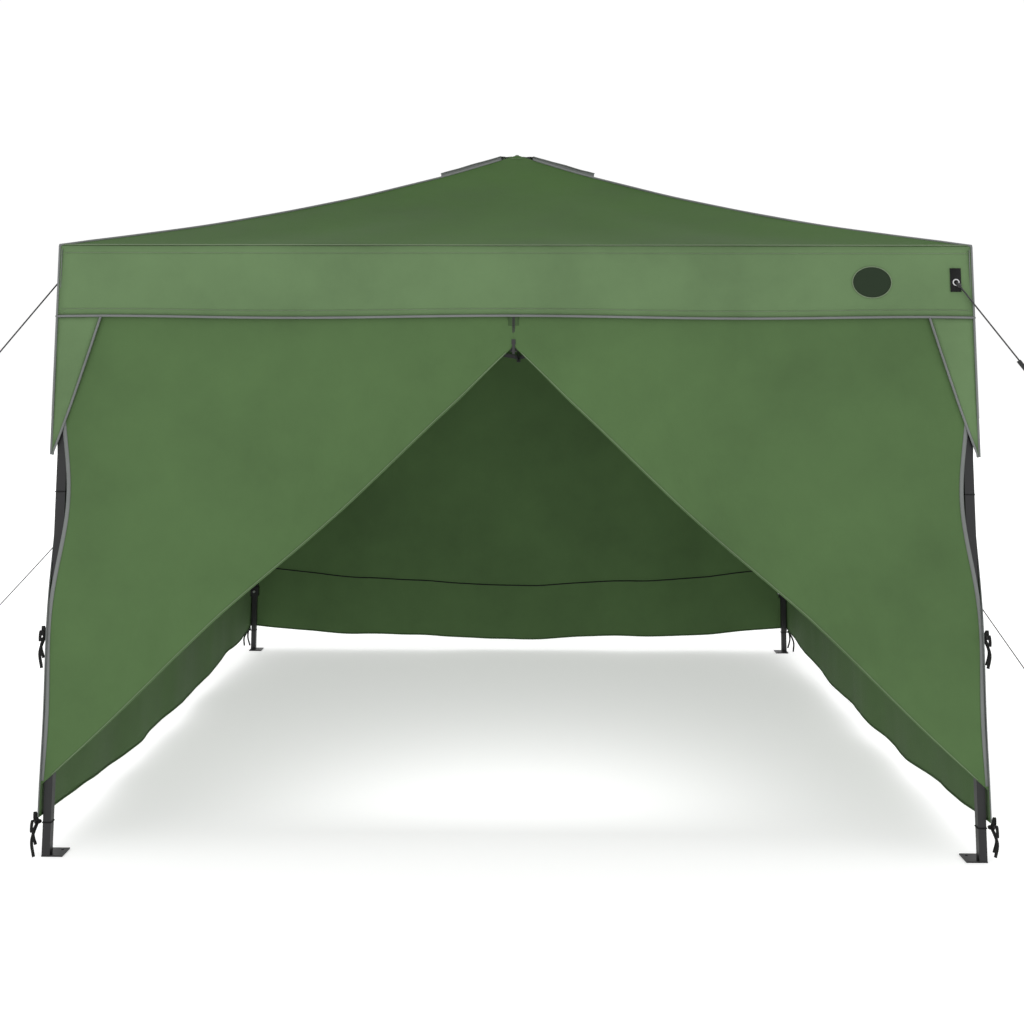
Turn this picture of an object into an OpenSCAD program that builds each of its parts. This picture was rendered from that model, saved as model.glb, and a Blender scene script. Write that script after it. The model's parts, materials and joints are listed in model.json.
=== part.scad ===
/* [Frame] */
// Distance between the centre lines of neighbouring legs
leg_spacing = 2860; // [2400:20:3200]
// Height of the pivots on the leg brackets and the hub
top_pivot_z = 1830; // [1700:10:1900]
// Height of the truss between its two rows of pivots
truss_h = 260; // [200:10:300]
// Width of an upper leg tube
upper_leg_w = 30; // [28:1:32]
// Width of a lower leg tube
lower_leg_w = 25; // [23:1:26]
// Wall thickness of the leg tubes
tube_wall = 1; // [0.8:0.1:2]
// Height of the lower end of an upper leg
upper_leg_foot_z = 280; // [200:10:320]
// Length of a lower leg tube
lower_leg_l = 900; // [700:10:1000]

/* [Truss] */
// Height of a truss bar's section
bar_w = 20; // [16:1:22]
// Height of a roof strut's section
strut_w = 16; // [12:1:16]
// Thickness of the bars and the struts
bar_t = 10; // [8:1:10]
// Radius of the pivot pins
pin_r = 3; // [2.5:0.1:3.5]
// Distance from a leg's centre line to the pivots on its ears
ear_reach = 55; // [50:1:60]
// Distance from the hub's centre line to its pivots
hub_arm = 28; // [27:1:30]

/* [Canopy and walls] */
// Half of the width of the canopy at its eaves
canopy_half = 1460; // [1460:1:1470]
// Height of the eaves
eave_z = 1880; // [1870:5:1900]
// Height of the tip of the roof
peak_z = 2445; // [2300:5:2600]
// Height of the valance's lower edge
valance_z = 1653; // [1600:1:1700]
// Width of the reinforcing skirt beside each corner
skirt_w = 140; // [100:5:180]
// Drop of the reinforcing skirt below the valance
skirt_drop = 436; // [300:2:500]
// Thickness of the fabric plates
cloth_t = 1; // [0.8:0.1:1]
// Height of the top of the front door
door_z = 1570; // [1500:10:1600]

/* [Hidden] */
SIDES = ["front", "right", "back", "left"];
CORNERS = ["front_left", "front_right", "back_right", "back_left"];
BARS = ["a_top", "a_slide", "b_slide", "b_top"];
QUARTERS = [0:3];
$fn = 48;

leg_at = leg_spacing / 2;
span = leg_at - ear_reach;
low_pivot_z = top_pivot_z - truss_h;
leg_top_z = top_pivot_z + 38;

plane_gap = 3;                      // from the truss's middle plane to the face of a bar
bar_y = plane_gap + bar_t / 2;      // from the truss's middle plane to a bar's centre
bar_end = 12;                       // a truss bar past its pivot
strut_end = 8;                      // a strut past its pivot
strut_reach = ear_reach - hub_arm;  // from the truss plane to the strut's outer pivot
bar_wall = 0.8;
pin_fit = 0.05;                     // radial clearance of a running pivot
open_fit = 0.4;                     // radial clearance of a pivot that closes a linkage
ear_t = 5;
head_r = 6;
head_t = 2;
pin_l = plane_gap + bar_t + 0.5;    // from the truss's middle plane to a pin's head
cheek_in = bar_t / 2 + 1;
cheek_t = 4;
pivot_pad = 10;                     // metal around a pivot

sleeve_w = 44;
slide_gap = 0.3;
pole_r = 12.5;
pole_wall = 1;
pole_foot_z = top_pivot_z - 32;
button_r = 3;
button_fit = 0.1;
button_head_r = 6;
slider_pin_drop = 28;               // from the slider's pivot down to its lock pin
height_button_z = upper_leg_foot_z + 25;
collar_w = 40;
collar_l = 50;

plate_out = 13;                     // foot plate past the leg's centre line, outwards
plate_in = 52;                      // and inwards
plate_t = 4;
peg_r = 5;
peg_at = 35;

cloth_gap = 1;                      // between neighbouring fabric plates
wall_at = leg_at + 24;
wall_half = leg_at + 22;
wall_top_z = eave_z - 10;
hem_corner_z = 120;
hem_side_z = 75;
hem_middle_z = 60;
door_foot_z = 200;

rope_r = 2.5;
rope_sides = 8;
ROPES = [
    [[-1470, -1400, 1780], [-1960, -1415, 1165], [-2450, -1435, 575], [-2940, -1450, 10]],
    [[1405, -1470, 1765], [1865, -1470, 1160], [2320, -1465, 575], [2780, -1460, 10]],
    [[1470, 1400, 1780], [1800, 1130, 1165], [2130, 865, 575], [2450, 600, 10]],
    [[-1470, 1400, 1780], [-1940, 1230, 1165], [-2410, 1065, 575], [-2880, 900, 10]]
];

// The front side lies along X at y = -leg_at, with its first corner at -X; the others turn about Z.
module quarter(k) {
    rotate([0, 0, 90 * k]) children();
}

module corner(k) {
    quarter(k) translate([-leg_at, -leg_at, 0]) children();
}

module box(low, high) {
    translate(low) cube(high - low);
}

// A square tube between two points of an XZ plane, bored across at the distances in bores.
module bar(from, to, width, end, bores) {
    reach = norm(to - from);
    angle = atan2(to.y - from.y, to.x - from.x);
    translate([from.x, 0, from.y]) rotate([0, -angle, 0]) difference() {
        box([-end, -bar_t / 2, -width / 2], [reach + end, bar_t / 2, width / 2]);
        box([-end - 1, -bar_t / 2 + bar_wall, -width / 2 + bar_wall],
            [reach + end + 1, bar_t / 2 - bar_wall, width / 2 - bar_wall]);
        for (hole = bores)
            translate([hole[0], -bar_t, 0]) rotate([-90, 0, 0]) cylinder(h = 2 * bar_t, r = hole[1]);
    }
}

// A pin along Y from the middle plane, with a head at its outer end. way is 1 for +Y and -1 for -Y.
module pivot_pin(way) {
    rotate([-90 * way, 0, 0]) {
        cylinder(h = pin_l + head_t, r = pin_r);
        translate([0, 0, pin_l]) cylinder(h = head_t, r = head_r);
    }
}

module centre_hub() {
    color("dimgray") translate([0, 0, top_pivot_z]) difference() {
        union() {
            translate([0, 0, -30]) cylinder(h = 60, r = pole_r + slide_gap + 2.5);
            for (k = QUARTERS) quarter(k) {
                for (side = [-1, 1]) translate([side * (cheek_in + cheek_t / 2), 0, 0])
                    box([-cheek_t / 2, -hub_arm - pivot_pad, -pivot_pad], [cheek_t / 2, -11.5, pivot_pad]);
                translate([-cheek_in - cheek_t, -hub_arm, 0]) rotate([0, 90, 0])
                    cylinder(h = 2 * (cheek_in + cheek_t), r = pin_r);
            }
        }
        translate([0, 0, -31]) cylinder(h = 62, r = pole_r + slide_gap);
    }
}

module peak_pole() {
    color("black") translate([0, 0, pole_foot_z]) difference() {
        cylinder(h = peak_z - 8 - pole_foot_z, r = pole_r);
        translate([0, 0, -1]) cylinder(h = peak_z - 12 - pole_foot_z, r = pole_r - pole_wall);
    }
}

module roof_strut(k) {
    bores = [[0, pin_r + pin_fit], [norm([span, truss_h]), pin_r + pin_fit]];
    color("black") quarter(k) rotate([0, 0, -90])
        bar([hub_arm, top_pivot_z], [leg_at - strut_reach, low_pivot_z], strut_w, strut_end, bores);
}

module truss_connector(k) {
    color("dimgray") quarter(k) translate([0, -leg_at, low_pivot_z]) {
        box([-pivot_pad, -ear_t / 2, -26], [pivot_pad, ear_t / 2, pivot_pad]);
        box([-pivot_pad, -ear_t / 2, -26], [pivot_pad, strut_reach + pivot_pad, -20]);
        for (side = [-1, 1]) translate([side * (cheek_in + cheek_t / 2), strut_reach, 0])
            box([-cheek_t / 2, -pivot_pad, -26], [cheek_t / 2, pivot_pad, pivot_pad]);
        translate([-cheek_in - cheek_t, strut_reach, 0]) rotate([0, 90, 0])
            cylinder(h = 2 * (cheek_in + cheek_t), r = pin_r);
        pivot_pin(1);
        pivot_pin(-1);
    }
}

// The four bars of one side. a and b are its two ends; top and slide say what the bar's outer end joins.
module truss_bar(k, bar) {
    half = norm([span, truss_h]) / 2;
    fit = pin_r + pin_fit;
    open = pin_r + open_fit;
    color("black") quarter(k) translate([0, -leg_at, 0]) {
        if (bar == "a_top") translate([0, -bar_y, 0])
            bar([-span, top_pivot_z], [0, low_pivot_z], bar_w, bar_end, [[0, fit], [half, fit], [2 * half, fit]]);
        if (bar == "a_slide") {
            translate([0, bar_y, 0])
                bar([-span, low_pivot_z], [0, top_pivot_z], bar_w, bar_end, [[0, fit]]);
            cross_pin(-span / 2, -1);
            cross_pin(0, -1, top_pivot_z);
        }
        if (bar == "b_slide") translate([0, -bar_y, 0])
            bar([0, top_pivot_z], [span, low_pivot_z], bar_w, bar_end, [[0, open], [half, fit], [2 * half, open]]);
        if (bar == "b_top") {
            translate([0, bar_y, 0])
                bar([0, low_pivot_z], [span, top_pivot_z], bar_w, bar_end, [[0, fit], [2 * half, open]]);
            cross_pin(span / 2, -1);
        }
    }
}

// The bolt that joins two crossing bars, fixed in the inner one.
module cross_pin(x, way, z = top_pivot_z - truss_h / 2) {
    translate([x, 0, z]) {
        pivot_pin(way);
        rotate([-90, 0, 0]) cylinder(h = plane_gap + bar_wall / 2, r = pin_r);
        translate([0, -plane_gap + 0.5, 0]) rotate([-90, 0, 0])
            cylinder(h = 2 * plane_gap - 0.5, r = pin_r + 1.5);
    }
}

// The two ears of a corner: one along X and one along Y, each with a pin that goes way of its plane.
module ears(z, way) {
    for (turn = [0, 1]) translate([0, 0, z]) mirror([turn, -turn, 0]) {
        box([sleeve_w / 2 - 1, -ear_t / 2, -pivot_pad], [ear_reach + pivot_pad - 2, ear_t / 2, pivot_pad]);
        translate([ear_reach, 0, 0]) pivot_pin(turn == 0 ? way : -way);
    }
}

module top_bracket(k) {
    color("dimgray") corner(k) difference() {
        union() {
            box([-sleeve_w / 2, -sleeve_w / 2, top_pivot_z - 30], [sleeve_w / 2, sleeve_w / 2, leg_top_z + 2]);
            ears(top_pivot_z, -1);
        }
        box([-upper_leg_w / 2, -upper_leg_w / 2, top_pivot_z - 31],
            [upper_leg_w / 2, upper_leg_w / 2, leg_top_z]);
    }
}

module upper_leg(k) {
    bore = upper_leg_w / 2 - tube_wall;
    color("black") corner(k) difference() {
        union() {
            box([-upper_leg_w / 2, -upper_leg_w / 2, upper_leg_foot_z],
                [upper_leg_w / 2, upper_leg_w / 2, leg_top_z]);
            box([-collar_w / 2, -collar_w / 2, upper_leg_foot_z],
                [collar_w / 2, collar_w / 2, upper_leg_foot_z + collar_l]);
        }
        box([-bore, -bore, upper_leg_foot_z - 1], [bore, bore, leg_top_z + 1]);
        translate([0, 0, height_button_z]) rotate([0, 90, 0])
            cylinder(h = collar_w, r = button_r + button_fit);
    }
}

module lower_leg(k) {
    half = lower_leg_w / 2;
    bore = half - tube_wall;
    color("black") corner(k) difference() {
        union() {
            box([-half, -half, 0], [half, half, lower_leg_l]);
            box([-plate_out, -plate_out, 0], [plate_in, plate_in, plate_t]);
        }
        box([-bore, -bore, plate_t], [bore, bore, lower_leg_l + 1]);
        translate([peg_at, peg_at, -1]) cylinder(h = plate_t + 2, r = peg_r);
    }
}

module slider(k) {
    bore = upper_leg_w / 2 + slide_gap;
    color("dimgray") corner(k) difference() {
        union() {
            box([-sleeve_w / 2, -sleeve_w / 2, low_pivot_z - 40], [sleeve_w / 2, sleeve_w / 2, low_pivot_z + 20]);
            ears(low_pivot_z, 1);
        }
        box([-bore, -bore, low_pivot_z - 41], [bore, bore, low_pivot_z + 21]);
        translate([0, 0, low_pivot_z - slider_pin_drop]) rotate([0, 90, 0])
            cylinder(h = sleeve_w, r = button_r + button_fit);
    }
}

// A pull pin along X, from its tip to its knob.
module pull_pin(tip, face, z) {
    translate([tip, 0, z]) rotate([0, 90, 0]) {
        cylinder(h = face - tip + 8, r = button_r);
        translate([0, 0, face - tip + 0.5]) cylinder(h = 8, r = button_head_r);
    }
}

module slider_pin(k) {
    color("silver") corner(k)
        pull_pin(upper_leg_w / 2 + slide_gap, sleeve_w / 2, low_pivot_z - slider_pin_drop);
}

module height_button(k) {
    color("silver") corner(k) pull_pin(lower_leg_w / 2 + slide_gap, collar_w / 2, height_button_z);
}

module canopy() {
    rise = peak_z - eave_z;
    slope_l = norm([canopy_half, rise]);
    edge = canopy_half - 2 * cloth_gap;
    tip = 3;
    color("darkolivegreen") for (k = QUARTERS) quarter(k) {
        translate([0, -canopy_half, eave_z]) rotate([atan2(rise, canopy_half), 0, 0]) linear_extrude(cloth_t)
            polygon([[-edge, 0], [edge, 0], [tip, slope_l - 2 * tip], [-tip, slope_l - 2 * tip]]);
        cloth_plate(canopy_half, [[-edge, valance_z], [edge, valance_z],
            [edge, eave_z - cloth_gap], [-edge, eave_z - cloth_gap]]);
        for (side = [-1, 1])
            cloth_plate(canopy_half, [[side * edge, valance_z - cloth_gap],
                [side * (edge - skirt_w), valance_z - cloth_gap], [side * edge, valance_z - skirt_drop]]);
    }
}

// An upright plate of fabric whose outer face is at y = -at.
module cloth_plate(at, outline) {
    translate([0, -at + cloth_t, 0]) rotate([90, 0, 0]) linear_extrude(cloth_t) polygon(outline);
}

module side_wall(k) {
    color("darkgreen") quarter(k) cloth_plate(wall_at, [
        [-wall_half, hem_corner_z], [-wall_half / 2, hem_side_z], [0, hem_middle_z],
        [wall_half / 2, hem_side_z], [wall_half, hem_corner_z], [wall_half, wall_top_z], [-wall_half, wall_top_z]
    ]);
}

module front_wall(side) {
    color("darkgreen") cloth_plate(wall_at, [
        [side * wall_half, door_foot_z], [side * cloth_gap, door_z],
        [side * cloth_gap, wall_top_z], [side * wall_half, wall_top_z]
    ]);
}

// A tube swept along a route, as one polyhedron with a ring of rope_sides points at each stop.
module rope(route) {
    last = len(route) - 1;
    stops = [for (i = [0:last - 1]) for (t = [0:0.25:0.75]) route[i] * (1 - t) + route[i + 1] * t, route[last]];
    count = len(stops);
    points = [for (i = [0:count - 1])
        let (d = unit(stops[min(i + 1, count - 1)] - stops[max(i - 1, 0)]), u = unit(cross(d, [0, 1, 0])), v = cross(d, u))
        for (s = [0:rope_sides - 1]) stops[i] + rope_r * (cos(360 * s / rope_sides) * u + sin(360 * s / rope_sides) * v)];
    walls = [for (i = [0:count - 2]) for (s = [0:rope_sides - 1])
        let (n = (s + 1) % rope_sides)
        [i * rope_sides + s, i * rope_sides + n, (i + 1) * rope_sides + n, (i + 1) * rope_sides + s]];
    ends = [[for (s = [rope_sides - 1:-1:0]) s], [for (s = [0:rope_sides - 1]) (count - 1) * rope_sides + s]];
    polyhedron(points, concat(walls, ends), convexity = 4);
}

function unit(v) = v / norm(v);

module guy_rope(k) {
    color("black") rope(ROPES[k]);
}

centre_hub();
peak_pole();
for (k = QUARTERS) {
    roof_strut(k);
    truss_connector(k);
    for (bar = BARS) truss_bar(k, bar);
    top_bracket(k);
    upper_leg(k);
    lower_leg(k);
    slider(k);
    slider_pin(k);
    height_button(k);
    guy_rope(k);
}
canopy();
front_wall(-1);  // front_wall_left
front_wall(1);  // front_wall_right
side_wall(1);  // right_wall
side_wall(2);  // back_wall
side_wall(3);  // left_wall
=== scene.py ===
"""A pop up gazebo: the looks of its fabric, ropes and frame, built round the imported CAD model."""

import json
import math
import random

import bpy
import bmesh
from mathutils import Matrix, Vector, noise

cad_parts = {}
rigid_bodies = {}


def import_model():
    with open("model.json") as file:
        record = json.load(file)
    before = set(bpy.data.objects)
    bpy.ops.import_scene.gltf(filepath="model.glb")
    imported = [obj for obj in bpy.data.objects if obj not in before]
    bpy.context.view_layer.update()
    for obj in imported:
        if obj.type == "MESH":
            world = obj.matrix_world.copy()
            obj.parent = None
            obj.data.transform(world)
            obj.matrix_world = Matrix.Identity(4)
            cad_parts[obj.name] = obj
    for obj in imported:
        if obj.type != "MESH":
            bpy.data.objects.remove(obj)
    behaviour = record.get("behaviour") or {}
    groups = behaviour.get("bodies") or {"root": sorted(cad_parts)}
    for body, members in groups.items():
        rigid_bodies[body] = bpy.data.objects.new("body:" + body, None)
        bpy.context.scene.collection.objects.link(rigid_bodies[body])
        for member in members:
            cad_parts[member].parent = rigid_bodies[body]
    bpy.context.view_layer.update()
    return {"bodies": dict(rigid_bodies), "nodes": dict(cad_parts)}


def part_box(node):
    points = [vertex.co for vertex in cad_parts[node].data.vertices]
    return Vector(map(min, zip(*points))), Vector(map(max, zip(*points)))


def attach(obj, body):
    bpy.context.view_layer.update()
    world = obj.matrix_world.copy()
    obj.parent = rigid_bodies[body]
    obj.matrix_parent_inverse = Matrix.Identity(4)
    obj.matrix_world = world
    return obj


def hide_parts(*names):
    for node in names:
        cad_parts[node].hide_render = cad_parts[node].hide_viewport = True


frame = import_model()

# Every size is in metres. HALF, PEAK_Z and LEG are read from the frame.
SIDES = ["front", "right", "back", "left"]
CORNERS = ["front_left", "front_right", "back_right", "back_left"]
CANOPY_HIGH = Vector(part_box("canopy")[1])
HALF = CANOPY_HIGH.x
PEAK_Z = CANOPY_HIGH.z
LEG_LOW, LEG_HIGH = (Vector(corner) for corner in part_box("upper_leg_front_right"))
LEG = (LEG_LOW.x + LEG_HIGH.x) / 2
EAVE_Z = 1.88
VALANCE_Z = 1.653
WALL_Y = LEG + 0.0215
WALL_TOP = EAVE_Z - 0.012
DOOR_Z = 1.57
DOOR_LOW = 0.2
GATHER_Z = 0.66
SKIRT_W, SKIRT_DROP = 0.14, 0.436
ROOF_SAG, PANEL_SAG = 0.062, 0.022
PATCH_W, PATCH_H = 0.062, 0.05
CLOTH_THICKNESS = 0.0008
PIPING_R = 0.0045
TIE_HEIGHTS = (0.10, 0.66, 1.1)
LOWER_LEG_Z = 0.28


# ---------------------------------------------------------------- camera and cords


def place_camera():
    data = bpy.data.cameras.new("camera")
    camera = bpy.data.objects.new("camera", data)
    bpy.context.scene.collection.objects.link(camera)
    data.sensor_width = 36
    data.lens = 42.8
    data.shift_y = -0.2628
    data.clip_end = 100
    camera.location = (0.038, -5.337, 1.462)
    camera.rotation_euler = (math.radians(96.3), math.radians(-0.13), math.radians(0.63))
    bpy.context.scene.camera = camera


place_camera()

ROPE_D = 0.005
ROPES = [
    [(-1.47, -1.4, 1.78), (-1.96, -1.415, 1.165), (-2.45, -1.435, 0.575), (-2.94, -1.45, 0.01)],
    [(1.405, -1.47, 1.765), (1.865, -1.47, 1.16), (2.32, -1.465, 0.575), (2.78, -1.46, 0.01)],
    [(1.47, 1.4, 1.78), (1.8, 1.13, 1.165), (2.13, 0.865, 0.575), (2.45, 0.6, 0.01)],
    [(-1.47, 1.4, 1.78), (-1.94, 1.23, 1.165), (-2.41, 1.065, 0.575), (-2.88, 0.9, 0.01)],
]


# ---------------------------------------------------------------- materials


def new_material(name, colour, roughness, metallic=0.0, specular=0.5, sheen=0.0):
    material = bpy.data.materials.new(name)
    material.use_nodes = True
    nodes, links = material.node_tree.nodes, material.node_tree.links
    shader = nodes["Principled BSDF"]
    shader.inputs["Base Color"].default_value = (*colour, 1)
    shader.inputs["Roughness"].default_value = roughness
    shader.inputs["Metallic"].default_value = metallic
    shader.inputs["Specular IOR Level"].default_value = specular
    shader.inputs["Sheen Weight"].default_value = sheen
    shader.inputs["Sheen Roughness"].default_value = 0.5
    return material, nodes, links, shader


def noise_node(nodes, links, scale, detail=3.0, roughness=0.5, stretch=(1, 1, 1)):
    place = nodes.new("ShaderNodeTexCoord")
    mapping = nodes.new("ShaderNodeMapping")
    mapping.inputs["Scale"].default_value = stretch
    texture = nodes.new("ShaderNodeTexNoise")
    texture.inputs["Scale"].default_value = scale
    texture.inputs["Detail"].default_value = detail
    texture.inputs["Roughness"].default_value = roughness
    links.new(place.outputs["Object"], mapping.inputs["Vector"])
    links.new(mapping.outputs["Vector"], texture.inputs["Vector"])
    return texture


def ramp_node(nodes, links, source, stops):
    ramp = nodes.new("ShaderNodeValToRGB")
    ramp.color_ramp.elements[0].position = stops[0][0]
    ramp.color_ramp.elements[0].color = (*stops[0][1], 1)
    ramp.color_ramp.elements[1].position = stops[-1][0]
    ramp.color_ramp.elements[1].color = (*stops[-1][1], 1)
    for position, colour in stops[1:-1]:
        ramp.color_ramp.elements.new(position).color = (*colour, 1)
    links.new(source, ramp.inputs["Fac"])
    return ramp


def weave_height(nodes, links, pitch):
    """A plain weave as crossing sine waves along the three axes, so that it needs no UVs."""
    place = nodes.new("ShaderNodeTexCoord")
    waves = []
    for axis in ("X", "Y", "Z"):
        wave = nodes.new("ShaderNodeTexWave")
        wave.bands_direction = axis
        wave.inputs["Scale"].default_value = 0.314 / pitch
        links.new(place.outputs["Object"], wave.inputs["Vector"])
        waves.append(wave)
    total = waves[0].outputs["Fac"]
    for wave in waves[1:]:
        add = nodes.new("ShaderNodeMath")
        add.operation = "ADD"
        links.new(total, add.inputs[0])
        links.new(wave.outputs["Fac"], add.inputs[1])
        total = add.outputs[0]
    return total


def bump_node(nodes, links, shader, height, strength, distance, after=None):
    bump = nodes.new("ShaderNodeBump")
    bump.inputs["Strength"].default_value = strength
    bump.inputs["Distance"].default_value = distance
    links.new(height, bump.inputs["Height"])
    if after is not None:
        links.new(after.outputs["Normal"], bump.inputs["Normal"])
    links.new(bump.outputs["Normal"], shader.inputs["Normal"])
    return bump


def cloth_material(name, colour, pitch=0.0012, roughness=0.72):
    """Coated polyester: a fine weave, soft creases and slow changes of shade."""
    material, nodes, links, shader = new_material(name, colour, roughness, specular=0.12, sheen=0.02)
    shade = noise_node(nodes, links, 2.2, detail=6, roughness=0.62)
    dark = [c * 0.86 for c in colour]
    light = [c * 1.12 for c in colour]
    ramp = ramp_node(nodes, links, shade.outputs["Fac"], [(0.3, dark), (0.5, colour), (0.72, light)])
    links.new(ramp.outputs["Color"], shader.inputs["Base Color"])
    rough = nodes.new("ShaderNodeMapRange")
    rough.inputs["To Min"].default_value = roughness - 0.1
    rough.inputs["To Max"].default_value = roughness + 0.1
    links.new(shade.outputs["Fac"], rough.inputs["Value"])
    links.new(rough.outputs["Result"], shader.inputs["Roughness"])
    crease = noise_node(nodes, links, 9, detail=7, roughness=0.6, stretch=(1, 1, 0.6))
    first = bump_node(nodes, links, shader, crease.outputs["Fac"], 0.35, 0.006)
    bump_node(nodes, links, shader, weave_height(nodes, links, pitch), 0.25, 0.0004, first)
    return material


def metal_material(name, colour, roughness, metallic):
    material, nodes, links, shader = new_material(name, colour, roughness, metallic)
    grain = noise_node(nodes, links, 900, detail=2)
    wear = noise_node(nodes, links, 14, detail=8, roughness=0.7)
    light = [min(1, c * 1.9 + 0.006) for c in colour]
    ramp = ramp_node(nodes, links, wear.outputs["Fac"], [(0.45, colour), (0.62, colour), (0.8, light)])
    links.new(ramp.outputs["Color"], shader.inputs["Base Color"])
    rough = nodes.new("ShaderNodeMapRange")
    rough.inputs["To Min"].default_value = roughness - 0.08
    rough.inputs["To Max"].default_value = roughness + 0.12
    links.new(wear.outputs["Fac"], rough.inputs["Value"])
    links.new(rough.outputs["Result"], shader.inputs["Roughness"])
    bump_node(nodes, links, shader, grain.outputs["Fac"], 0.12, 0.0002)
    return material


def cord_material(name, colour):
    """A braid as diagonal bands."""
    material, nodes, links, shader = new_material(name, colour, 0.75, sheen=0.2)
    place = nodes.new("ShaderNodeTexCoord")
    wave = nodes.new("ShaderNodeTexWave")
    wave.bands_direction = "DIAGONAL"
    wave.inputs["Scale"].default_value = 90
    wave.inputs["Distortion"].default_value = 2
    links.new(place.outputs["Object"], wave.inputs["Vector"])
    light = [c * 1.8 + 0.01 for c in colour]
    ramp = ramp_node(nodes, links, wave.outputs["Fac"], [(0.2, colour), (0.9, light)])
    links.new(ramp.outputs["Color"], shader.inputs["Base Color"])
    bump_node(nodes, links, shader, wave.outputs["Fac"], 0.6, 0.0008)
    return material


MATERIALS = {
    "roof": cloth_material("roof_polyester", (0.037, 0.090, 0.016)),
    "valance": cloth_material("valance_polyester", (0.113, 0.184, 0.084)),
    "wall": cloth_material("wall_polyester", (0.073, 0.132, 0.049)),
    "hem": cloth_material("hem_polyester", (0.052, 0.094, 0.037)),
    "piping": cloth_material("grey_piping", (0.17, 0.18, 0.175), pitch=0.0008),
    "grey": cloth_material("grey_polyester", (0.16, 0.17, 0.165)),
    "webbing": cloth_material("black_webbing", (0.012, 0.012, 0.012), pitch=0.002),
    "patch": cloth_material("patch_fabric", (0.018, 0.03, 0.016)),
    # Thread colour for the stitch rows; the same colour also draws the painted highlight along the fold of
    # each door half.
    "thread": cloth_material("stitching", (0.16, 0.21, 0.13), pitch=0.0008),
    "zip": metal_material("zip_teeth", (0.02, 0.02, 0.02), 0.4, 0.2),
    "steel": metal_material("black_powder_coat", (0.016, 0.016, 0.017), 0.42, 0.35),
    "plastic": metal_material("black_nylon", (0.02, 0.02, 0.021), 0.55, 0.0),
    "zinc": metal_material("zinc_plate", (0.55, 0.55, 0.56), 0.32, 1.0),
    "cord": cord_material("black_braid", (0.012, 0.012, 0.013)),
}


# ---------------------------------------------------------------- mesh helpers


def make_piece(name, points, faces, material, smooth=True):
    mesh = bpy.data.meshes.new(name)
    mesh.from_pydata([tuple(p) for p in points], [], faces)
    mesh.validate()
    piece = bpy.data.objects.new(name, mesh)
    bpy.context.scene.collection.objects.link(piece)
    mesh.materials.append(MATERIALS[material])
    for polygon in mesh.polygons:
        polygon.use_smooth = smooth
    return piece


def grid(surface, columns, rows):
    """Points and faces of surface(u, v), with u and v from 0 to 1."""
    points = [surface(i / columns, j / rows) for j in range(rows + 1) for i in range(columns + 1)]
    wide = columns + 1
    faces = [
        (j * wide + i, j * wide + i + 1, (j + 1) * wide + i + 1, (j + 1) * wide + i)
        for j in range(rows)
        for i in range(columns)
    ]
    return points, faces


def joined(parts):
    """One list of points and one of faces from several pairs."""
    points, faces = [], []
    for more, those in parts:
        start = len(points)
        points += more
        faces += [tuple(start + i for i in face) for face in those]
    return points, faces


def tube(route, radius, sides=8, closed=False):
    """A tube round a route, with a cap at each end unless it is closed."""
    route = [Vector(p) for p in route]
    count = len(route)
    points, faces = [], []
    normal = None
    for i, here in enumerate(route):
        ahead = route[(i + 1) % count] if closed or i < count - 1 else here
        behind = route[i - 1] if closed or i > 0 else here
        along = (ahead - behind).normalized()
        if normal is None:
            normal = along.orthogonal().normalized()
        normal = (normal - along * normal.dot(along)).normalized()
        across = along.cross(normal)
        for s in range(sides):
            angle = 2 * math.pi * s / sides
            points.append(here + radius * (math.cos(angle) * normal + math.sin(angle) * across))
    for i in range(count if closed else count - 1):
        nxt = (i + 1) % count
        for s in range(sides):
            t = (s + 1) % sides
            faces.append((i * sides + s, i * sides + t, nxt * sides + t, nxt * sides + s))
    if not closed:
        faces.append(tuple(range(sides - 1, -1, -1)))
        faces.append(tuple((count - 1) * sides + s for s in range(sides)))
    return points, faces


def ribbon(route, across, width, thickness=0.0012):
    """A flat strap along a route: across is its width's direction at every point."""
    route = [Vector(p) for p in route]
    points, faces = [], []
    for i, here in enumerate(route):
        along = (route[min(i + 1, len(route) - 1)] - route[max(i - 1, 0)]).normalized()
        side = Vector(across(i / (len(route) - 1)) if callable(across) else across)
        side = (side - along * side.dot(along)).normalized()
        up = along.cross(side) * thickness / 2
        side = side * width / 2
        points += [here + side + up, here - side + up, here - side - up, here + side - up]
    for i in range(len(route) - 1):
        for s in range(4):
            t = (s + 1) % 4
            faces.append((4 * i + s, 4 * i + t, 4 * i + 4 + t, 4 * i + 4 + s))
    faces += [(3, 2, 1, 0), tuple(4 * (len(route) - 1) + s for s in range(4))]
    return points, faces


def smooth_route(stops, steps):
    """Points on a Catmull-Rom curve through the stops."""
    stops = [Vector(p) for p in stops]
    stops = [2 * stops[0] - stops[1], *stops, 2 * stops[-1] - stops[-2]]
    route = []
    for i in range(1, len(stops) - 2):
        a, b, c, d = stops[i - 1 : i + 3]
        for n in range(steps):
            t = n / steps
            square = (2 * a - 5 * b + 4 * c - d) * t**2
            cube = (3 * b - a - 3 * c + d) * t**3
            route.append(0.5 * (2 * b + (c - a) * t + square + cube))
    return route + [stops[-2]]


def quarter(k):
    return Matrix.Rotation(math.radians(90 * k), 4, "Z")


def arc(count):
    """The angles of points spaced evenly round a circle."""
    return [math.tau * i / count for i in range(count)]


def bell(x, width):
    return math.exp(-((x / width) ** 2))


def ripple(seed, *where):
    return noise.noise(Vector((*where, seed * 7.31)))


# ---------------------------------------------------------------- fabric that folds with the frame


def corner_weight(point, k):
    """How far a point belongs to corner k, from the four legs around it."""
    u = min(1, max(0, (point.x / LEG + 1) / 2))
    v = min(1, max(0, (point.y / LEG + 1) / 2))
    return [(1 - u) * (1 - v), u * (1 - v), u * v, (1 - u) * v][k]


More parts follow.
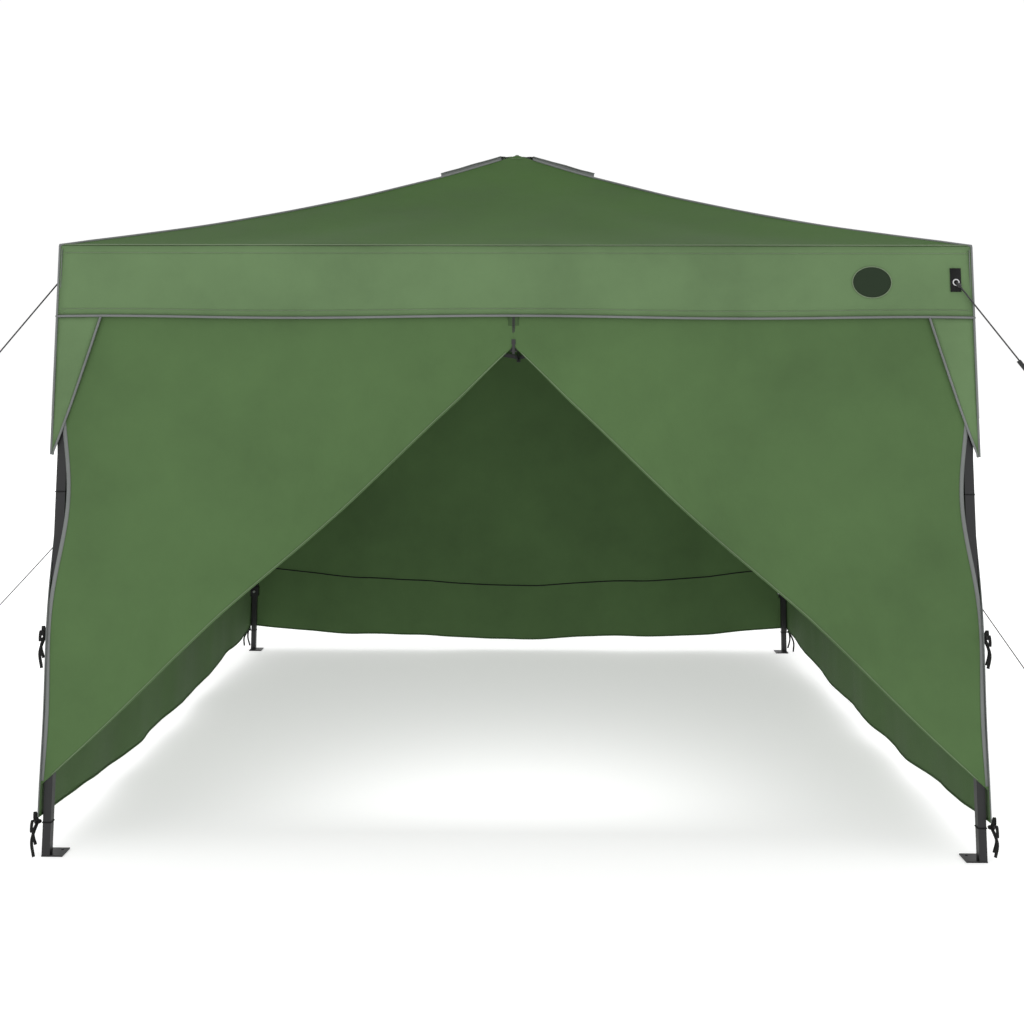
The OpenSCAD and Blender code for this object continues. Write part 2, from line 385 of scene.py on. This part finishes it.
def peak_weight(point):
    """How far a point of the roof comes down with the peak pole: 1 at the peak and 0 at the eaves."""
    if point.z < EAVE_Z:
        return 0
    return max(0, 1 - max(abs(point.x), abs(point.y)) / HALF)


def hook(piece, body, weight):
    """Makes each point of the piece go with a body as far as weight(point) says, from 0 to 1."""
    group = piece.vertex_groups.new(name="with_" + body)
    for vertex in piece.data.vertices:
        share = weight(vertex.co)
        if share > 0:
            group.add([vertex.index], share, "REPLACE")
    follow = piece.modifiers.new("with_" + body, "HOOK")
    follow.object = frame["bodies"][body]
    follow.vertex_group = group.name
    follow.falloff_type = "NONE"
    follow.matrix_inverse = Matrix.Identity(4)


def gather(piece, node=None):
    """Fabric rides on the hub, goes with the nearest legs as they close, and the roof goes with the pole."""
    for k, corner in enumerate(CORNERS):
        hook(piece, "leg_" + corner, lambda point, k=k: corner_weight(point, k))
    if any(vertex.co.z > EAVE_Z for vertex in piece.data.vertices):
        hook(piece, "peak_pole", peak_weight)
    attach(piece, "hub")
    if node:
        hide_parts(node)
    return piece


def trim(name, parts, material, smooth=True):
    """A small piece of the fabric's own, such as a seam, that folds with it."""
    return gather(make_piece(name, *joined(parts), material, smooth))


# ---------------------------------------------------------------- canopy


def roof_height(x, y):
    """The roof over a point: it sags between the peak and the eaves, and between the hips."""
    out = max(abs(x), abs(y)) / HALF
    along = min(abs(x), abs(y)) / max(abs(x), abs(y), 1e-6)
    up = 1 - out
    z = EAVE_Z + (PEAK_Z - EAVE_Z) * up
    z -= ROOF_SAG * (1 - (2 * up - 1) ** 2) * (1 - 0.25 * along)
    panel = (1 - along**2) * math.sin(math.pi * min(1, up * 1.05))
    z -= PANEL_SAG * panel * out
    turn = math.atan2(min(abs(x), abs(y)), max(abs(x), abs(y)))
    fold = math.sin(9 * turn * 2 + 3 * up)
    z += 0.0035 * fold * bell(up - 0.15, 0.3) * (1 - bell(up, 0.03))
    z += 0.006 * ripple(1, 2.6 * x, 2.6 * y) * math.sin(math.pi * up)
    return min(z, PEAK_Z - 0.0005)


def roof_point(k, along, up):
    """A point of side k's slope: along from -1 to 1 between the hips, up from 0 at the eave to 1."""
    half = HALF * (1 - up)
    x, y = along * half, -half
    return quarter(k) @ Vector((x, y, roof_height(x, y)))


def valance_wave(along, down):
    """How far the valance stands in from its plane, more at its lower edge."""
    wave = 0.004 * math.sin(7 * along + 1.3) + 0.003 * ripple(3, 4 * along, down)
    return (0.0005 + 0.4 * abs(wave) + 0.001 * down) * (0.3 + 0.7 * down) * (1 - abs(along) ** 14)


def valance_point(k, along, down):
    drop = down * (EAVE_Z - VALANCE_Z)
    dip = 0.004 * math.cos(2 * math.pi * along) * down * (1 - along**8)
    x = along * (HALF - 0.001)
    return quarter(k) @ Vector((x, -HALF + valance_wave(along, down), EAVE_Z - drop + dip))


def skirt_point(k, side, across, down):
    """The triangle of canopy fabric that goes on down the leg. across is 0 at the corner."""
    width = SKIRT_W * (1 - down) ** 0.92
    x = side * (HALF - 0.001 - across * width)
    z = VALANCE_Z - 0.0005 - down * SKIRT_DROP
    inward = 0.001 + 0.006 * across * down + 0.003 * abs(ripple(5, 9 * across, 5 * down))
    return quarter(k) @ Vector((x, -HALF + inward, z))


def build_canopy():
    parts = []
    for k in range(4):
        parts.append(grid(lambda u, v, k=k: roof_point(k, 2 * u - 1, 0.995 * v), 60, 40))
    top = [quarter(k) @ Vector((-HALF * 0.005, -HALF * 0.005, PEAK_Z - 0.0008)) for k in range(4)]
    parts.append((top, [(0, 1, 2, 3)]))
    roof = make_piece("canopy_roof", *joined(parts), "roof")
    merge(roof)
    gather(roof, "canopy")
    for k, side in enumerate(SIDES):
        parts = [grid(lambda u, v, k=k: valance_point(k, 2 * u - 1, v), 80, 8)]
        for way in (-1, 1):
            parts.append(grid(lambda u, v, k=k, w=way: skirt_point(k, w, u, v), 6, 20))
        valance = make_piece("valance_" + side, *joined(parts), "valance")
        merge(valance)
        thicken(valance, CLOTH_THICKNESS)
        gather(valance)


def merge(piece, distance=0.0006):
    mesh = bmesh.new()
    mesh.from_mesh(piece.data)
    bmesh.ops.remove_doubles(mesh, verts=mesh.verts, dist=distance)
    bmesh.ops.recalc_face_normals(mesh, faces=mesh.faces)
    mesh.to_mesh(piece.data)
    mesh.free()


def thicken(piece, thickness, offset=-1):
    solid = piece.modifiers.new("thickness", "SOLIDIFY")
    solid.thickness = thickness
    solid.offset = offset


def build_canopy_trim():
    """Piping on the hips, the corners and the hems, stitch rows, and a stitched ring round the peak."""
    heights = (EAVE_Z, EAVE_Z - 0.06, EAVE_Z - 0.12, VALANCE_Z, VALANCE_Z - 0.2, VALANCE_Z - SKIRT_DROP)
    for k, corner in enumerate(CORNERS):
        hip = [roof_point(k, -1, t / 40) + Vector((0, 0, 0.001)) for t in range(39)]
        upright = [quarter(k) @ Vector((-HALF + 0.0005, -HALF + 0.0005, z)) for z in heights]
        trim("corner_piping_" + corner, [tube(hip, PIPING_R), tube(upright, PIPING_R * 0.8)], "piping")
    for k, side in enumerate(SIDES):
        proud = quarter(k) @ Vector((0, -0.0015, 0))
        hem = [valance_point(k, 2 * t / 80 - 1, 1) + proud for t in range(81)]
        parts = [tube(hem, PIPING_R * 0.85)]
        for way in (-1, 1):
            edge = [skirt_point(k, way, 1, t / 20) + proud for t in range(21)]
            parts.append(tube(edge, PIPING_R * 0.85))
        trim("hem_piping_" + side, parts, "piping")
        above = quarter(k) @ Vector((0, -0.002, 0.0015))
        seam = [roof_point(k, 2 * t / 60 - 1, 0.006) + above for t in range(61)]
        rows = [tube(seam, 0.0022, 6)]
        for down in (0.10, 0.90):
            row = [valance_point(k, 1.98 * t / 60 - 0.99, down) for t in range(61)]
            row = [p + quarter(k) @ Vector((0, -0.0012, 0)) for p in row]
            rows.append(tube(row, 0.0009, 5))
        trim("valance_stitching_" + side, rows, "thread")
    ring = [Vector((0.05 * math.cos(a), 0.05 * math.sin(a), 0)) for a in arc(24)]
    ring = [p + Vector((0, 0, roof_height(p.x, p.y) + 0.001)) for p in ring]
    trim("peak_stitching", [tube(ring, 0.0012, 6, closed=True)], "thread")


def build_vent():
    """The grey flap over the vent in the back slope, propped up by a short stay at its middle."""
    def flap(u, v):
        x = 0.36 * (2 * u - 1) * (0.2 + 0.8 * v)
        y = 0.02 + 0.30 * v
        z = PEAK_Z - 0.004 - 0.004 * v - 0.022 * (2 * u - 1) ** 2 * v + 0.002 * ripple(8, 9 * u, 4 * v)
        return Vector((x, y, z))

    def gusset(way, v, down):
        edge = flap(way, v)
        return edge.lerp(Vector((edge.x * 0.97, edge.y, roof_height(edge.x, edge.y) + 0.001)), down)

    def opening(u, v):
        x = 0.30 * (2 * u - 1) * (1 - 0.3 * (1 - v))
        y = 0.19 + 0.19 * v
        return Vector((x, y, roof_height(x, y) + 0.002))

    cover = make_piece("vent_flap", *grid(flap, 24, 10), "grey")
    thicken(cover, CLOTH_THICKNESS, 0)
    gather(cover)
    mesh = make_piece("vent_mesh", *grid(opening, 24, 10), "webbing")
    gather(mesh)
    sides = [grid(lambda u, v, w=way: gusset(w, u, v), 8, 4) for way in (0, 1)]
    trim("vent_gussets", sides, "grey")
    edge = [flap(t / 24, 1) for t in range(25)]
    rim = [flap(0, t / 10) for t in range(11)]
    other = [flap(1, t / 10) for t in range(11)]
    trim("vent_piping", [tube(edge, 0.003), tube(rim, 0.003), tube(other, 0.003)], "piping")
    top = flap(0.5, 0.97)
    base = opening(0.5, 0.55)
    trim("vent_stay", [tube([base, base.lerp(top, 0.5), top - Vector((0, 0, 0.002))], 0.004)], "webbing")


def build_patch():
    """A plain oval patch with a stitched rim, in the place of a badge."""
    centre = Vector((HALF - 0.32, 0, EAVE_Z - 0.115))

    def at(x, z, out):
        y = -HALF + valance_wave(x / HALF, (EAVE_Z - z) / (EAVE_Z - VALANCE_Z)) - out
        return Vector((x, y, z))

    def disc(u, v):
        angle = u * math.tau
        return at(centre.x + PATCH_W * v * math.cos(angle), centre.z + PATCH_H * v * math.sin(angle), 0.0016)

    piece = make_piece("valance_patch", *grid(disc, 36, 5), "patch")
    merge(piece, 1e-5)
    gather(piece)
    rim = [at(centre.x + PATCH_W * math.cos(a), centre.z + PATCH_H * math.sin(a), 0.002) for a in arc(36)]
    trim("valance_patch_rim", [tube(rim, 0.0016, 6, closed=True)], "thread")


# ---------------------------------------------------------------- walls


def wall_folds(seed, x, z):
    """Loose upright folds, small near the top, where the wall is held, and near the legs."""
    hang = min(1, max(0, (VALANCE_Z - 0.02 - z) / 0.9))
    free = 1 - abs(x / LEG) ** 6
    wave = 0.55 * math.sin(5.3 * x + seed) + 0.45 * math.sin(11.7 * x + 2 * seed + 1.2 * z)
    wave += 0.9 * ripple(seed, 3 * x, 1.3 * z) + 0.35 * ripple(seed + 2, 9 * x, 3 * z)
    return 0.0105 * hang * free * wave


def hem_height(seed, x):
    """The lower edge: highest at the legs, hanging between them in shallow scallops."""
    out = abs(x) / LEG
    z = 0.062 + 0.062 * out**2.2
    return z + 0.008 * math.sin(6 * x + seed) * (1 - out**4) + 0.006 * ripple(seed, 5 * x, 0)


def wall_edge(z):
    """Half of a wall's width at a height: its edges are drawn in between the skirts and the middle tie."""
    return LEG + 0.021 - 0.042 * bell(z - 1.12, 0.26) + 0.004 * math.sin(11 * z)


def clear_of_leg(x, y):
    """Keeps cloth beside a leg outside the leg."""
    return min(y, -LEG - 0.019) if abs(x) > LEG - 0.045 else y


def wall_point(k, across, down):
    """A point of side k's wall: across from -1 to 1 between its edges."""
    seed = 11 + 3 * k
    x = across * LEG
    low = hem_height(seed, x)
    z = WALL_TOP * (1 - down) + low * down
    y = -WALL_Y + 0.001 + wall_folds(seed, x, z)
    x = across * wall_edge(z)
    return quarter(k) @ Vector((x, clear_of_leg(x, y), z))


def build_wall(k, node):
    points = grid(lambda u, v: wall_point(k, 2 * u - 1, v), 130, 76)
    wall = make_piece(node + "_cloth", *points, "wall")
    gather(wall, node)
    outward = quarter(k) @ Vector((0, -1, 0))

    def row(level, out, count=110):
        """A line across the wall, at level(t) of its height above the hem."""
        places = [t / count for t in range(count + 1)]
        return [wall_point(k, 2 * t - 1, 1 - level(t)) + outward * out for t in places]

    hem = row(lambda t: 0.0, 0.001)
    seam = row(lambda t: 0.18 - 0.025 * math.sin(math.pi * t), 0.0006)
    inner = [p - 2 * outward * 0.0006 for p in seam]
    trim(node + "_hem", [tube(hem, 0.004), tube(row(lambda t: 0.014, 0.0012), 0.001, 5)], "hem")
    trim(node + "_seam", [tube(seam, 0.0022, 6), tube(inner, 0.0032, 6)], "webbing")
    for way in (-1, 1):
        edge = [wall_point(k, way * 0.998, t / 60) + outward * 0.001 for t in range(61)]
        side = quarter(k) @ Vector((1, 0, 0))
        trim(f"{node}_binding_{'ab'[way > 0]}", [ribbon(edge, side, 0.022, 0.0016)], "grey")


def fold_height(x):
    """Height of the fold where the door is turned back, by the distance from the door's middle."""
    t = min(1, abs(x) / (LEG + 0.02))
    straight = DOOR_Z + (DOOR_LOW - DOOR_Z) * t
    dip = 0.055 * math.sin(math.pi * min(1, t * 1.6)) * (1 - t) * t
    return straight + 0.03 * math.sin(math.pi * t) - dip


def front_point(side, t, down):
    """A point of one half of the front wall; t goes from the middle to the leg."""
    low = fold_height(t * LEG)
    z = WALL_TOP * (1 - down) + low * down
    x = t * wall_edge(z)
    crease = math.sin(24 * t + 9 * (z - low) + 2 * ripple(6, 5 * t, z))
    pull = 0.012 * bell((z - low) / 0.3, 1) * crease * (1 - t**6)
    under = min(1, max(0, (VALANCE_Z - z) / 0.1))
    y = -WALL_Y + 0.001 + 0.5 * wall_folds(4 + side, side * x, z) - 0.8 * abs(pull) * under
    return Vector((side * x, clear_of_leg(x, y), z))


def lip_point(side, t, turn):
    """The soft roll at the fold, from the outer face round the lower edge to the inner face."""
    edge = front_point(side, t, 1)
    radius = 0.013 * (1 - 0.6 * t**8) * (0.35 + 0.65 * min(1, t * 8))
    angle = math.pi * turn
    slope = Vector((0.68, 0, 0.73))
    down = Vector((side * -slope.z, 0, -slope.x))
    return edge + Vector((0, radius * (1 - math.cos(angle)), 0)) + down * radius * 1.5 * math.sin(angle)


def flap_point(side, t, r):
    """The turned-back corner of the door, from the fold to the bunch that is tied to the leg."""
    start = lip_point(side, t, 1)
    fan = t - 0.5
    end_x = side * (LEG - 0.055 + 0.012 * math.sin(9 * t))
    end = Vector((end_x, -LEG + 0.045 + 0.02 * fan, GATHER_Z - 0.10 * fan))
    here = start.lerp(end, r)
    sag = 0.10 * math.sin(math.pi * r) * (0.3 + 0.7 * (1 - t))
    pleat = 0.010 * math.sin(30 * t) * r * (1.2 - r)
    here += Vector((0, 0.03 * math.sin(math.pi * r) + pleat, -0.35 * sag * (1 - t) + pleat * 0.5))
    return here


def tail_point(side, around, down):
    """The loose cloth under the tie, hanging as a flared bunch."""
    angle = math.tau * around
    flare = 0.018 + 0.03 * down + 0.006 * math.sin(7 * angle) * down
    centre = Vector((side * (LEG - 0.058), -LEG + 0.047, GATHER_Z - 0.02 - 0.30 * down))
    wave = 0.02 * math.sin(5 * angle) * down
    return centre + Vector((flare * math.cos(angle), flare * 0.8 * math.sin(angle), wave))


def build_front():
    for side, word in ((-1, "left"), (1, "right")):
        node = "front_wall_" + word
        parts = [
            grid(lambda u, v: front_point(side, u, v), 110, 50),
            grid(lambda u, v: lip_point(side, u, v), 110, 10),
            grid(lambda u, v: flap_point(side, u, v), 110, 26),
        ]
        half = make_piece(node + "_cloth", *joined(parts), "wall")
        merge(half, 0.0003)
        gather(half, node)
        tail = make_piece(node + "_tail", *grid(lambda u, v: tail_point(side, u, v), 40, 12), "wall")
        merge(tail, 1e-5)
        gather(tail)
        middle = side * (LEG - 0.035)
        wrap = [
            Vector((middle + 0.045 * math.cos(a), -LEG + 0.018 + 0.03 * math.sin(a), GATHER_Z - 0.012))
            for a in arc(28)
        ]
        trim(node + "_tie", [tube(wrap, 0.004, 6, closed=True)], "webbing")
        outer = [front_point(side, 0.996, t / 60) + Vector((0, -0.001, 0)) for t in range(61)]
        trim(node + "_binding", [ribbon(outer, (1, 0, 0), 0.012, 0.0016)], "piping")
        # A thin line in the lighter thread colour, laid round the roll of the fold: a painted highlight
        # where the folded cloth catches the light.
        edge = [lip_point(side, 0.02 + 0.96 * t / 100, 0.25) + Vector((0, -0.001, 0)) for t in range(101)]
        trim(node + "_fold_highlight", [tube(edge, 0.0012, 5)], "thread")
    build_zip()


def build_zip():
    """The part of the zip above the door, its tape and its slider with a pull."""
    top = VALANCE_Z + 0.02
    y = -WALL_Y - 0.0008
    tape = [Vector((0, y, DOOR_Z + (top - DOOR_Z) * t / 12)) for t in range(13)]
    trim("zip_tape", [ribbon(tape, (1, 0, 0), 0.034, 0.0014)], "hem")
    teeth = []
    count = 70
    for i in range(count):
        z = DOOR_Z + 0.01 + (top - DOOR_Z - 0.01) * i / count
        way = 1 if i % 2 else -1
        tooth = [(way * 0.0005, y - 0.0014, z), (way * 0.004, y - 0.0014, z)]
        teeth.append(ribbon(tooth, (0, 0, 1), 0.0022, 0.0018))
    trim("zip_teeth", teeth, "zip", smooth=False)
    slider = [
        ribbon([(0, y - 0.003, DOOR_Z + 0.012), (0, y - 0.0035, DOOR_Z - 0.004)], (1, 0, 0), 0.013, 0.005),
        ribbon([(0, y - 0.006, DOOR_Z + 0.002), (0, y - 0.006, DOOR_Z - 0.035)], (1, 0, 0), 0.008, 0.002),
    ]
    trim("zip_slider", slider, "zip", smooth=False)


# ---------------------------------------------------------------- ties, tabs and ropes


def bow(at, out, seed):
    """A knotted tie: two loose ends and two loops of narrow tape."""
    rng = random.Random(seed)
    at, out = Vector(at), Vector(out).normalized()
    up = Vector((0, 0, 1))
    side = out.cross(up)
    parts = []
    for way in (-1, 1):
        reach = rng.uniform(0.03, 0.045)
        high = at + side * way * reach + up * 0.018 + out * 0.012
        low = at + side * way * reach * 1.3 - up * 0.012 + out * 0.012
        loop = [at, high, low, at]
        parts.append(ribbon(smooth_route(loop, 6), out, 0.009, 0.0012))
        tail = rng.uniform(0.07, 0.1)
        bend = at + side * way * 0.02 - up * tail * 0.5 + out * 0.014
        tip = at + side * way * 0.03 - up * tail + out * 0.006
        end = [at, bend, tip]
        parts.append(ribbon(smooth_route(end, 6), out, 0.009, 0.0012))
    middle = [at + 0.007 * Vector((math.cos(a), math.sin(a), 0)) for a in arc(10)]
    parts.append(tube(middle, 0.005, 6, closed=True))
    return parts


def build_ties():
    """Tape ties that hold the walls' edges to the legs at three heights."""
    for k, corner in enumerate(CORNERS):
        for n, z in enumerate(TIE_HEIGHTS):
            half = 0.0165 if z > 0.3 else 0.014
            corner_points = [(-half, -half), (half, -half), (half, half), (-half, half)]
            band = [quarter(k) @ Vector((-LEG + x, -LEG + y, z)) for x, y in corner_points]
            parts = [tube(rounded(band), 0.0018, 6, closed=True)]
            at, out = tie_place(k, z, half)
            parts += bow(at, out, 10 * k + n)
            piece = make_piece(f"wall_tie_{corner}_{'abc'[n]}", *joined(parts), "webbing")
            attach(piece, ("lower_leg_" if z < LOWER_LEG_Z else "leg_") + corner)


def tie_place(k, z, half):
    """Where a tie is knotted: outside the leg, left or right of it, at the two lower ones."""
    if z > 0.8:
        inside = -LEG + half + 0.004
        return quarter(k) @ Vector((inside, inside, z)), quarter(k) @ Vector((1, 1, 0))
    way = -1 if k in (0, 3) else 1
    front = -1 if k < 2 else 1
    return Vector((way * (LEG + 0.031), front * (LEG + 0.004), z)), Vector((way, 0.3 * front, 0))


def rounded(corners):
    """A closed route with each corner cut by a short arc."""
    route = []
    for i, here in enumerate(corners):
        before, after = corners[i - 1], corners[(i + 1) % len(corners)]
        for share in (0.75, 0.9):
            route.append(before.lerp(here, share))
        route.append(here.lerp(after, 0.1))
        route.append(here.lerp(after, 0.25))
    return route


def build_ropes():
    for k, corner in enumerate(CORNERS):
        stops = [Vector(p) for p in ROPES[k]]
        route = smooth_route(stops, 7)
        rope = make_piece("guy_rope_" + corner + "_braid", *tube(route, ROPE_D / 2, 10), "cord")
        start = route[0]
        along = (route[1] - start).normalized()
        upper = knot(start + along * 0.012, along, 0.0062)
        lower = knot(route[-1] - along * 0.01, along, 0.0062)
        knot_parts = [rope_eye(route[-1], along), upper, lower]
        ends = make_piece("guy_rope_" + corner + "_knots", *joined(knot_parts), "cord")
        slider = runner_shape(route, along)
        runner = make_piece("guy_rope_" + corner + "_runner", *slider, "plastic", smooth=False)
        for piece in (rope, ends, runner):
            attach(piece, "leg_" + corner)
        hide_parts("guy_rope_" + corner)
        build_tab(k, corner, start)


def rope_eye(end, along):
    """The loop at the ground end, lying flat."""
    flat = Vector((along.x, along.y, 0)).normalized()
    side = Vector((-flat.y, flat.x, 0))
    centre = end + flat * 0.012
    loop = [centre + 0.014 * (math.cos(a) * flat + 0.75 * math.sin(a) * side) for a in arc(20)]
    return tube([Vector((p.x, p.y, max(p.z, ROPE_D / 2 + 0.001))) for p in loop], ROPE_D / 2, 8, closed=True)


def knot(at, along, radius):
    side = along.orthogonal().normalized()
    up = along.cross(side)
    turns = 3
    count = 12 * turns
    route = []
    for i in range(count + 1):
        a = math.tau * turns * i / count
        turn = (radius - 0.002) * (math.cos(a) * side + math.sin(a) * up)
        route.append(at + turn + along * 0.011 * (i / count - 0.5))
    return tube(route, 0.0026, 7)


def runner_shape(route, along):
    """A flat line runner, high on the rope."""
    at = route[3]
    side = along.orthogonal().normalized()
    ends = [at - along * 0.018, at - along * 0.006, at + along * 0.006, at + along * 0.018]
    return ribbon([p + side * 0.0035 for p in ends], side.cross(along), 0.014, 0.004)


def build_tab(k, corner, start):
    """The webbing tab and the eyelet that the rope is tied to, sewn to the valance."""
    on_front = k == 1
    face = Vector((0, -1, 0)) if on_front else Vector((-1 if start.x < 0 else 1, 0, 0))
    along_face = Vector((1, 0, 0)) if on_front else Vector((0, 1, 0))
    at = Vector(start)
    if on_front:
        at.y = -HALF - 0.0018
    else:
        at.x = math.copysign(HALF + 0.0018, start.x)
    up = Vector((0, 0, 1))
    patch = [at + Vector((0, 0, 0.045)), at, at - Vector((0, 0, 0.03))]
    ring = [at + face * 0.003 + 0.009 * (math.cos(a) * along_face + math.sin(a) * up) for a in arc(20)]
    tab = make_piece("rope_tab_" + corner, *ribbon(patch, along_face, 0.034, 0.002), "webbing")
    eyelet = make_piece("rope_eyelet_" + corner, *tube(ring, 0.0026, 8, closed=True), "zinc")
    for piece in (tab, eyelet):
        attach(piece, "leg_" + corner)


# ---------------------------------------------------------------- frame and stage


def dress_frame():
    """Gives the CAD pieces their finish."""
    plastic = ("centre_hub", "top_bracket", "slider_", "truss_connector")
    for name, node in frame["nodes"].items():
        kind = "steel"
        if name.startswith(plastic):
            kind = "plastic"
        if name.startswith(("slider_pin", "height_button")):
            kind = "zinc"
        node.data.materials.clear()
        node.data.materials.append(MATERIALS[kind])


def build_stage():
    floor_material, _, _, shader = new_material("studio_floor", (0.8, 0.8, 0.8), 0.9, specular=0.1)
    mesh = bpy.data.meshes.new("floor")
    shader.inputs["Emission Color"].default_value = (1, 1, 1, 1)
    shader.inputs["Emission Strength"].default_value = 0.5
    size = 40
    corners = [(-size, -size, 0), (size, -size, 0), (size, size, 0), (-size, size, 0)]
    mesh.from_pydata(corners, [], [(0, 1, 2, 3)])
    floor = bpy.data.objects.new("floor", mesh)
    floor.location.z = -0.001
    bpy.context.scene.collection.objects.link(floor)
    mesh.materials.append(floor_material)
    world = bpy.data.worlds.new("studio")
    world.use_nodes = True
    world.node_tree.nodes["Background"].inputs["Color"].default_value = (1, 1, 1, 1)
    world.node_tree.nodes["Background"].inputs["Strength"].default_value = 1.02
    bpy.context.scene.world = world
    lamp("key", (-3.5, -6.5, 6.5), 60, 5.0)
    lamp("fill", (6.0, -4.0, 4.0), 25, 5.0)
    lamp("inner", (0.0, -1.1, 1.0), 11, 1.3, aim=(0, 1.4, 0.7))
    bpy.context.scene.view_settings.view_transform = "Standard"


def lamp(name, place, power, size, aim=(0, 0, 1)):
    data = bpy.data.lights.new(name, "AREA")
    data.energy = power
    data.size = size
    light = bpy.data.objects.new(name, data)
    light.location = place
    light.visible_camera = False
    light.rotation_euler = (Vector(aim) - Vector(place)).to_track_quat("-Z", "Y").to_euler()
    bpy.context.scene.collection.objects.link(light)


build_ropes()
build_canopy()
build_canopy_trim()
build_vent()
build_patch()
for side_k, wall_node in ((1, "right_wall"), (2, "back_wall"), (3, "left_wall")):
    build_wall(side_k, wall_node)
build_front()
build_ties()
dress_frame()
build_stage()

bpy.context.view_layer.update()
